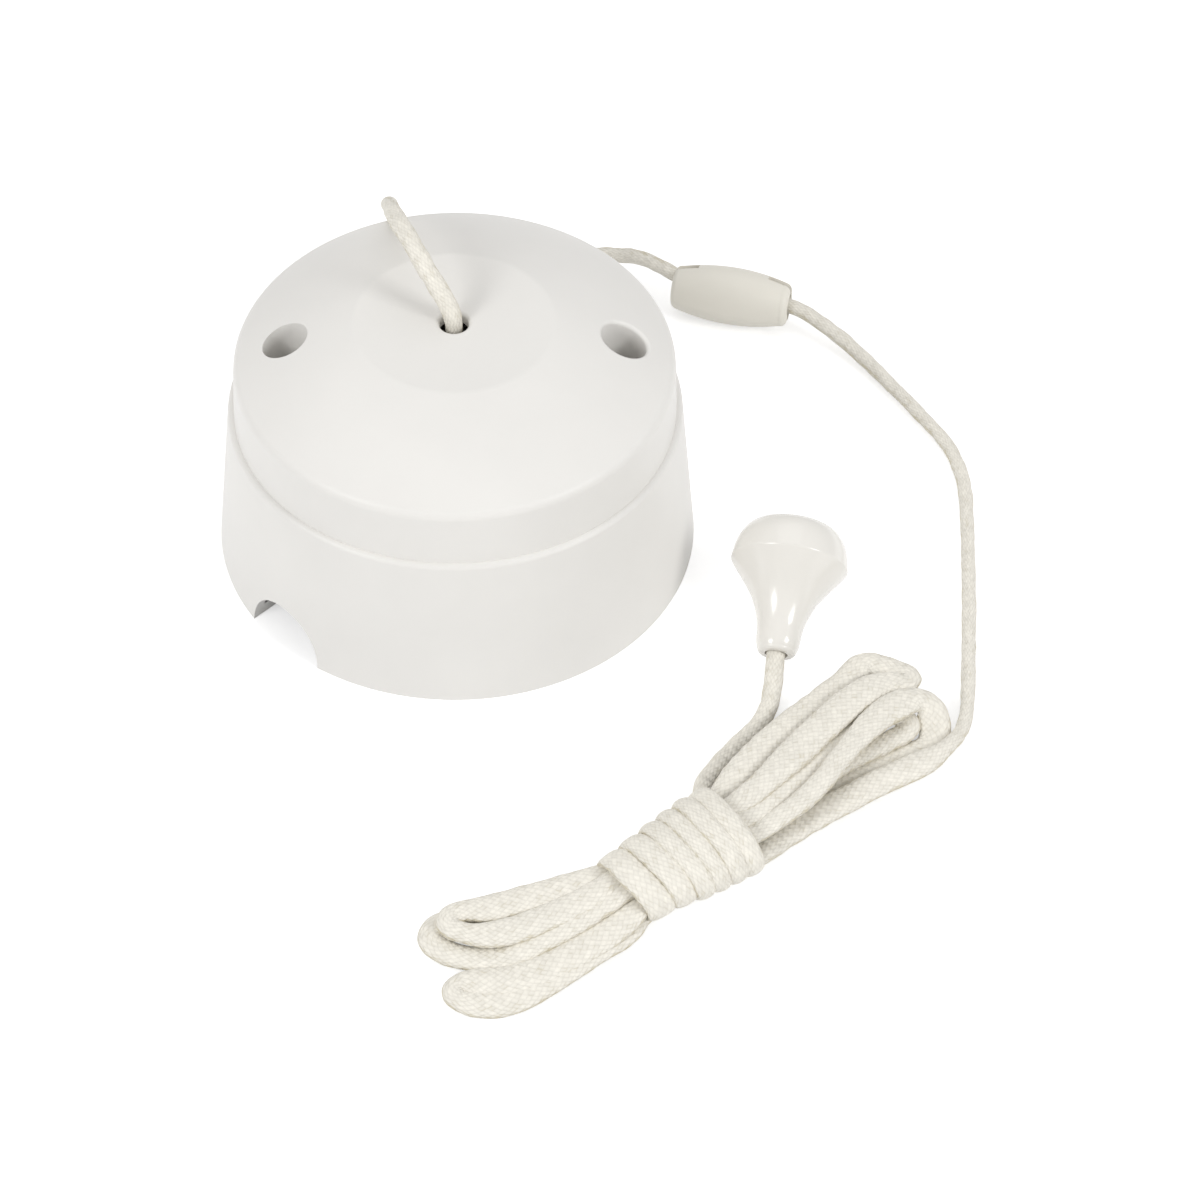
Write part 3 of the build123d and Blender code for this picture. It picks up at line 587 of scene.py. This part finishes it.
def metal(name, colour, roughness, scratch):
    """Plated or machined metal with fine scratches and a little tarnish."""
    material, tree, shader = new_material(name)
    place = tree.nodes.new("ShaderNodeTexCoord").outputs["Object"]
    stretch = add(tree, "ShaderNodeMapping", Scale=SCRATCH_STRETCH)
    tree.links.new(place, stretch.inputs["Vector"])
    scratches = add(tree, "ShaderNodeTexNoise", Scale=scratch, Detail=5.0)
    tree.links.new(stretch.outputs["Vector"], scratches.inputs["Vector"])
    tarnish = add(tree, "ShaderNodeTexNoise", Scale=TARNISH_SCALE, Detail=4.0)
    tree.links.new(place, tarnish.inputs["Vector"])
    tint = ramp(tree, tarnish.outputs["Fac"], [(0.35, scaled(colour, 0.78)), (0.65, colour)])
    gloss = add(tree, "ShaderNodeMapRange", To_Min=roughness - 0.08, To_Max=roughness + 0.12)
    tree.links.new(scratches.outputs["Fac"], gloss.inputs["Value"])
    tree.links.new(tint, shader.inputs["Base Color"])
    tree.links.new(gloss.outputs["Result"], shader.inputs["Roughness"])
    shader.inputs["Metallic"].default_value = 1.0
    bump(tree, shader, scratches.outputs["Fac"], SCRATCH_RELIEF)
    return material


def braided(settings):
    """Braided yarn: plaits that cross over and under, from the map of turns and length on the cord, with
    painted highlights on the plait ridges and as random flecks, and painted shade between the plaits and at
    the flat edges.
    """
    material, tree, shader = new_material("cord_yarn")
    split = tree.nodes.new("ShaderNodeSeparateXYZ")
    tree.links.new(tree.nodes.new("ShaderNodeUVMap").outputs["UV"], split.inputs["Vector"])
    round_it = maths(tree, "MULTIPLY", split.outputs["X"], settings.plaits)
    along = maths(tree, "DIVIDE", split.outputs["Y"], settings.plait_length)
    diagonals = [maths(tree, "ADD", along, round_it), maths(tree, "SUBTRACT", along, round_it)]
    cells = tree.nodes.new("ShaderNodeCombineXYZ")
    plaits = tree.nodes.new("ShaderNodeCombineXYZ")
    ridges = []
    for axis, diagonal in zip("XY", diagonals):
        tree.links.new(diagonal, cells.inputs[axis])
        tree.links.new(maths(tree, "FLOOR", diagonal), plaits.inputs[axis])
        place = maths(tree, "SUBTRACT", maths(tree, "FRACT", diagonal), 0.5)
        off_ridge = maths(tree, "MULTIPLY", maths(tree, "ABSOLUTE", place), 2.0)
        ridges.append(maths(tree, "SUBTRACT", 1.0, off_ridge))
    over = add(tree, "ShaderNodeTexChecker", Scale=1.0)
    tree.links.new(cells.outputs["Vector"], over.inputs["Vector"])
    height = tree.nodes.new("ShaderNodeMix")
    tree.links.new(over.outputs["Fac"], height.inputs["Factor"])
    tree.links.new(ridges[0], height.inputs["A"])
    tree.links.new(ridges[1], height.inputs["B"])
    # Painted highlights: each plait gets a random brightness, which paints the glints of the glossy yarn
    glint_chance = tree.nodes.new("ShaderNodeTexWhiteNoise")
    tree.links.new(plaits.outputs["Vector"], glint_chance.inputs["Vector"])
    place = tree.nodes.new("ShaderNodeTexCoord").outputs["Object"]
    fuzz = add(tree, "ShaderNodeTexNoise", Scale=FUZZ_SCALE, Detail=3.0)
    wear = add(tree, "ShaderNodeTexNoise", Scale=WEAR_SCALE, Detail=3.0)
    for texture in (fuzz, wear):
        tree.links.new(place, texture.inputs["Vector"])
    rounded = maths(tree, "POWER", height.outputs["Result"], RIDGE_POWER)
    relief = maths(tree, "ADD", rounded, maths(tree, "MULTIPLY", fuzz.outputs["Fac"], FUZZ_RELIEF))
    # Painted glints together with real wear
    glints_and_wear = maths(tree, "ADD", maths(tree, "MULTIPLY", glint_chance.outputs["Value"], GLINT_TONE),
                   maths(tree, "MULTIPLY", wear.outputs["Fac"], WEAR_TONE))
    # Painted shade: the cord is darkened in colour towards its flat edges, where strands touch
    turn = maths(tree, "MULTIPLY", split.outputs["X"], 2 * math.pi)
    edge_shade = maths(tree, "POWER", maths(tree, "ABSOLUTE", maths(tree, "COSINE", turn)), EDGE_SHADE_POWER)
    # The plait ridges are painted lighter, a painted highlight on their crowns
    tone = maths(tree, "ADD", maths(tree, "MULTIPLY", rounded, RIDGE_LIGHT_TONE), glints_and_wear)
    tone = maths(tree, "SUBTRACT", tone, maths(tree, "MULTIPLY", edge_shade, EDGE_SHADE_TONE))
    # Painted light and shade: low tone takes the painted shade colour, and high tone a lighter colour that
    # paints highlights on the plait ridges and flecks
    stops = [
        (0.10, tuple(settings.painted_shade)),
        (0.40, scaled(settings.colour, 0.93)),
        (0.80, scaled(settings.colour, 1.07)),
    ]
    tree.links.new(ramp(tree, tone, stops), shader.inputs["Base Color"])
    shader.inputs["Roughness"].default_value = YARN_ROUGHNESS
    shader.inputs["Sheen Weight"].default_value = YARN_SHEEN
    shader.inputs["Sheen Roughness"].default_value = YARN_SHEEN_ROUGHNESS
    bump(tree, shader, relief, YARN_RELIEF)
    return material


def nurbs_points(name, points):
    """Points read along a NURBS spline that has the given control points."""
    curve = bpy.data.curves.new(name, "CURVE")
    curve.dimensions = "3D"
    curve.resolution_u = ROUTE_STEPS
    spline = curve.splines.new("NURBS")
    spline.points.add(len(points) - 1)
    for control, place in zip(spline.points, points):
        control.co = (*place, 1.0)
    spline.order_u = 3
    spline.use_endpoint_u = True
    holder = bpy.data.objects.new(name, curve)
    bpy.context.scene.collection.objects.link(holder)
    bpy.context.view_layer.update()
    line = bpy.data.meshes.new_from_object(holder)
    read = [vertex.co.copy() for vertex in line.vertices]
    bpy.data.objects.remove(holder)
    bpy.data.curves.remove(curve)
    bpy.data.meshes.remove(line)
    return read


def tube_mesh(name, line, sections, facings, settings, closed):
    """A braided tube along points that have a section and a facing each.

    It is closed in a ring or has two ends, and its map holds turns round the cord and length along it.
    """
    count = len(line)
    verts = []
    lengths = []
    along = 0.0
    for here, place in enumerate(line):
        before = line[here - 1] if closed or here else place
        after = line[(here + 1) % count] if closed or here < count - 1 else place
        ahead = (after - before).normalized()
        out = (facings[here] - ahead * facings[here].dot(ahead)).normalized()
        side = ahead.cross(out)
        along += (place - before).length
        lengths.append(along)
        for step in range(RING_POINTS):
            angle = 2 * math.pi * step / RING_POINTS
            across = side * sections[here].x / 2 * math.cos(angle)
            spot = place + across + out * sections[here].y / 2 * math.sin(angle)
            lump = noise.noise(spot * UNEVEN_SCALE) * settings.unevenness
            verts.append(spot + (spot - place).normalized() * lump)
    faces = []
    for ring in range(count if closed else count - 1):
        low = ring * RING_POINTS
        high = (ring + 1) % count * RING_POINTS
        for step in range(RING_POINTS):
            following = (step + 1) % RING_POINTS
            faces.append((low + step, low + following, high + following, high + step))
    if not closed:
        faces.append(tuple(reversed(range(RING_POINTS))))
        faces.append(tuple(range((count - 1) * RING_POINTS, count * RING_POINTS)))
    mesh = bpy.data.meshes.new(name)
    mesh.from_pydata(verts, [], faces)
    layer = mesh.uv_layers.new(name="UVMap")
    for polygon in mesh.polygons:
        polygon.use_smooth = True
        closing = polygon.index % RING_POINTS == RING_POINTS - 1
        for loop in polygon.loop_indices:
            ring, step = divmod(mesh.loops[loop].vertex_index, RING_POINTS)
            turn = 1.0 if closing and step == 0 else step / RING_POINTS
            layer.data[loop].uv = (turn, lengths[ring])
    tube = bpy.data.objects.new(name, mesh)
    bpy.context.scene.collection.objects.link(tube)
    mesh.materials.append(bpy.data.materials["cord_yarn"])
    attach(tube, "pull")
    return tube


def cord_tube(name, controls, settings):
    """A braided tube along a NURBS spline, and the points that it follows.

    Each control is a place, a section of width and thickness, and the way its flat side faces.
    """
    places, sizes, ways = zip(*controls)
    line = nurbs_points(name + "_route", places)
    sections = nurbs_points(name + "_sections", [(*size, 0.0) for size in sizes])
    facings = nurbs_points(name + "_facings", ways)
    return tube_mesh(name, line, sections, facings, settings, False), line


def knot(name, place, axis, settings):
    """A tight stopper knot, drawn as a threefold knot of thin cord round the cord's end."""
    turned = Vector(UP).rotation_difference(Vector(axis))
    line = []
    for point in range(KNOT_POINTS):
        angle = 2 * math.pi * point / KNOT_POINTS
        across = math.sin(angle) + 2 * math.sin(2 * angle)
        over = math.cos(angle) - 2 * math.cos(2 * angle)
        shape = Vector((across, over, -KNOT_DEPTH * math.sin(3 * angle)))
        line.append(Vector(place) + turned @ shape * (KNOT_REACH / 3))
    sections = [Vector((*KNOT_SECTION, 0.0))] * KNOT_POINTS
    facings = [Vector(axis)] * KNOT_POINTS
    return tube_mesh(name, line, sections, facings, settings, True)


def stretch_controls(stretches):
    """The controls of some stretches of cord."""
    return [(place, section, facing) for section, facing, places in stretches for place in places]


def wrap_controls():
    """The binding's turns as more controls of the cord, from the left end to the bottom of the last turn."""
    controls = []
    starts = [wrap[0] for wrap in WRAPS] + [WRAPS_END]
    for number, (back, top, front, half_width, half_height, width) in enumerate(WRAPS):
        bottom = (front + starts[number + 1]) / 2
        quarters = [back, top, front, bottom, starts[number + 1]]
        points = WRAP_POINTS if number < len(WRAPS) - 1 else WRAP_POINTS * 3 // 4 + 1
        for point in range(points):
            quarter, part = divmod(4 * point, WRAP_POINTS)
            share = part / WRAP_POINTS
            along = quarters[quarter] + (quarters[quarter + 1] - quarters[quarter]) * share
            angle = 2 * math.pi * point / WRAP_POINTS
            out = BINDING_ACROSS * math.cos(angle) * half_height + Vector(UP) * math.sin(angle) * half_width
            across = BINDING_ACROSS * half_width * math.cos(angle)
            height = BINDING_FLOOR + half_height * (1 + math.sin(angle))
            place = BINDING_START + BINDING_ALONG * along + across + Vector(UP) * height
            controls.append((place, (width, WRAP_THICKNESS), out.normalized()))
    return controls


def declare_cord(nodes):
    """Hides the solids that a tube takes the place of."""
    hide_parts(*nodes)


def dress(material, slot):
    """Gives a material to every solid of the record's slot."""
    for part in frame["record"]["subparts"]:
        if part["material_slot"] == slot:
            solid = bpy.data.objects[part["node"]]
            solid.data.materials.clear()
            solid.data.materials.append(material)


class PULLSWITCH_OT_upper_cord(bpy.types.Operator):
    """Lays the cord from the switch to the connector"""
    bl_idname = "pullswitch.upper_cord"
    bl_label = "Upper cord"

    def execute(self, context):
        settings = context.scene.pull_switch_cord
        dress(braided(settings), "braided_cord")
        tube, line = cord_tube("cord_to_connector", stretch_controls(UPPER_CORD), settings)
        knots = [knot(*ends, settings) for ends in UPPER_KNOTS]
        declare_cord(["upper_cord"])
        return {"FINISHED"}


class PULLSWITCH_OT_lower_cord(bpy.types.Operator):
    """Lays the long cord with its hank, from the connector to the acorn"""
    bl_idname = "pullswitch.lower_cord"
    bl_label = "Lower cord and hank"

    def execute(self, context):
        settings = context.scene.pull_switch_cord
        controls = stretch_controls(LOWER_CORD) + wrap_controls() + stretch_controls(ACORN_CORD)
        tube, line = cord_tube("cord_to_acorn", controls, settings)
        knots = [knot(*ends, settings) for ends in LOWER_KNOTS]
        declare_cord(["lower_cord", "cord_hank", "acorn_cord"])
        return {"FINISHED"}


class PULLSWITCH_OT_mouldings(bpy.types.Operator):
    """Dresses the base, cover, connector and acorn"""
    bl_idname = "pullswitch.mouldings"
    bl_label = "Mouldings"

    def execute(self, context):
        settings = context.scene.pull_switch_moulding
        housing = moulded("housing_plastic", settings.housing, settings.roughness, *HOUSING_GRAIN,
                          shine=HOUSING_SHINE)
        connector = moulded("connector_plastic", settings.connector, *CONNECTOR_FINISH)
        acorn = moulded("acorn_plastic", settings.acorn, *ACORN_FINISH, coat=ACORN_COAT)
        dress(housing, "housing_plastic")
        dress(connector, "connector_plastic")
        dress(acorn, "acorn_plastic")
        return {"FINISHED"}


class PULLSWITCH_OT_mechanism(bpy.types.Operator):
    """Dresses the pieces inside the switch"""
    bl_idname = "pullswitch.mechanism"
    bl_label = "Mechanism"

    def execute(self, context):
        for slot, finish in INNER_PLASTICS.items():
            dress(moulded(slot, *finish), slot)
        for slot, finish in INNER_METALS.items():
            dress(metal(slot, *finish), slot)
        return {"FINISHED"}


class PULLSWITCH_OT_springs(bpy.types.Operator):
    """Dresses the springs and sets a copy of each on the housing in place of its solid"""
    bl_idname = "pullswitch.springs"
    bl_label = "Springs"

    def execute(self, context):
        dress(metal("spring_steel", *SPRING_FINISH), "spring_steel")
        for node, joint, seat, keep in SPRINGS:
            coil = bpy.data.objects.new(node + "_coil", bpy.data.objects[node].data.copy())
            context.scene.collection.objects.link(coil)
            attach(coil, "housing")
            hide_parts(node)
            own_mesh(coil)
        return {"FINISHED"}


def lamp(name, place, target, power, size):
    """A soft square lamp that looks at a target."""
    data = bpy.data.lights.new(name, "AREA")
    data.energy = power
    data.size = size
    holder = bpy.data.objects.new(name, data)
    holder.location = place
    holder.rotation_euler = (Vector(target) - Vector(place)).to_track_quat("-Z", "Y").to_euler()
    bpy.context.scene.collection.objects.link(holder)


def floor_material(settings):
    """A pale floor that keeps its shadow and is nearly white to the camera and in reflections."""
    material, tree, shader = new_material("floor")
    grain = add(tree, "ShaderNodeTexNoise", Scale=FLOOR_GRAIN, Detail=2.0)
    colour = tuple(settings.floor)
    tint = ramp(tree, grain.outputs["Fac"], [(0.3, scaled(colour, 0.99)), (0.7, colour)])
    tree.links.new(tint, shader.inputs["Base Color"])
    shader.inputs["Roughness"].default_value = FLOOR_ROUGHNESS
    shader.inputs["Specular IOR Level"].default_value = 0.0
    glow = add(tree, "ShaderNodeEmission", Strength=FLOOR_GLOW)
    both = tree.nodes.new("ShaderNodeAddShader")
    seen = tree.nodes.new("ShaderNodeMixShader")
    path = tree.nodes.new("ShaderNodeLightPath").outputs
    mirrored = maths(tree, "MAXIMUM", path["Is Glossy Ray"], path["Is Transmission Ray"])
    tree.links.new(maths(tree, "MAXIMUM", path["Is Camera Ray"], mirrored), seen.inputs["Fac"])
    tree.links.new(shader.outputs["BSDF"], both.inputs[0])
    tree.links.new(glow.outputs["Emission"], both.inputs[1])
    tree.links.new(shader.outputs["BSDF"], seen.inputs[1])
    tree.links.new(both.outputs["Shader"], seen.inputs[2])
    tree.links.new(seen.outputs["Shader"], tree.nodes["Material Output"].inputs["Surface"])
    return material


class PULLSWITCH_OT_stage(bpy.types.Operator):
    """Sets the camera, the floor and the lights"""
    bl_idname = "pullswitch.stage"
    bl_label = "Stage"

    def execute(self, context):
        settings = context.scene.pull_switch_stage
        data = bpy.data.cameras.new("camera")
        data.lens = CAMERA_LENS
        data.sensor_width = CAMERA_SENSOR
        camera = bpy.data.objects.new("camera", data)
        axes = Matrix((CAMERA_RIGHT, CAMERA_UP, CAMERA_BACK)).transposed()
        camera.matrix_world = Matrix.Translation(CAMERA_PLACE) @ axes.to_4x4()
        context.scene.collection.objects.link(camera)
        context.scene.camera = camera
        mesh = bpy.data.meshes.new("floor")
        signs = [(-1, -1), (1, -1), (1, 1), (-1, 1)]
        corners = [(across * FLOOR_REACH, along * FLOOR_REACH, 0.0) for across, along in signs]
        mesh.from_pydata(corners, [], [(0, 1, 2, 3)])
        mesh.materials.append(floor_material(settings))
        floor = bpy.data.objects.new("floor", mesh)
        context.scene.collection.objects.link(floor)
        for name, place, power, size in LAMPS:
            lamp(name, place, LAMP_TARGET, getattr(settings, power), size)
        world = bpy.data.worlds.new("sky")
        world.use_nodes = True
        sky = world.node_tree.nodes["Background"]
        sky.inputs["Color"].default_value = (1.0, 1.0, 1.0, 1.0)
        sky.inputs["Strength"].default_value = settings.sky
        context.scene.world = world
        context.scene.view_settings.view_transform = "Standard"
        return {"FINISHED"}


class PULLSWITCH_PT_panel(bpy.types.Panel):
    """Steps that dress the switch"""
    bl_idname = "PULLSWITCH_PT_panel"
    bl_label = "Pull switch"
    bl_space_type = "VIEW_3D"
    bl_region_type = "UI"
    bl_category = "Pull switch"

    def draw(self, context):
        for group in (context.scene.pull_switch_cord, context.scene.pull_switch_moulding,
                      context.scene.pull_switch_stage):
            for name in group.bl_rna.properties.keys():
                if name not in ("rna_type", "name"):
                    self.layout.prop(group, name)
        for step in STEPS:
            self.layout.operator(step.bl_idname)


STEPS = (
    PULLSWITCH_OT_stage,
    PULLSWITCH_OT_upper_cord,
    PULLSWITCH_OT_lower_cord,
    PULLSWITCH_OT_mouldings,
    PULLSWITCH_OT_mechanism,
    PULLSWITCH_OT_springs,
)
CLASSES = (CordSettings, MouldingSettings, StageSettings, *STEPS, PULLSWITCH_PT_panel)


def register():
    """Registers the classes and gives the scene their settings."""
    for item in CLASSES:
        bpy.utils.register_class(item)
    bpy.types.Scene.pull_switch_cord = bpy.props.PointerProperty(type=CordSettings)
    bpy.types.Scene.pull_switch_moulding = bpy.props.PointerProperty(type=MouldingSettings)
    bpy.types.Scene.pull_switch_stage = bpy.props.PointerProperty(type=StageSettings)


def unregister():
    """Takes the settings and the classes away again."""
    del bpy.types.Scene.pull_switch_stage
    del bpy.types.Scene.pull_switch_moulding
    del bpy.types.Scene.pull_switch_cord
    for item in reversed(CLASSES):
        bpy.utils.unregister_class(item)


def main():
    """Dresses the switch step by step."""
    register()
    bpy.ops.pullswitch.stage()
    bpy.ops.pullswitch.upper_cord()
    bpy.ops.pullswitch.lower_cord()
    bpy.ops.pullswitch.mouldings()
    bpy.ops.pullswitch.mechanism()
    bpy.ops.pullswitch.springs()


if __name__ == "__main__":
    main()
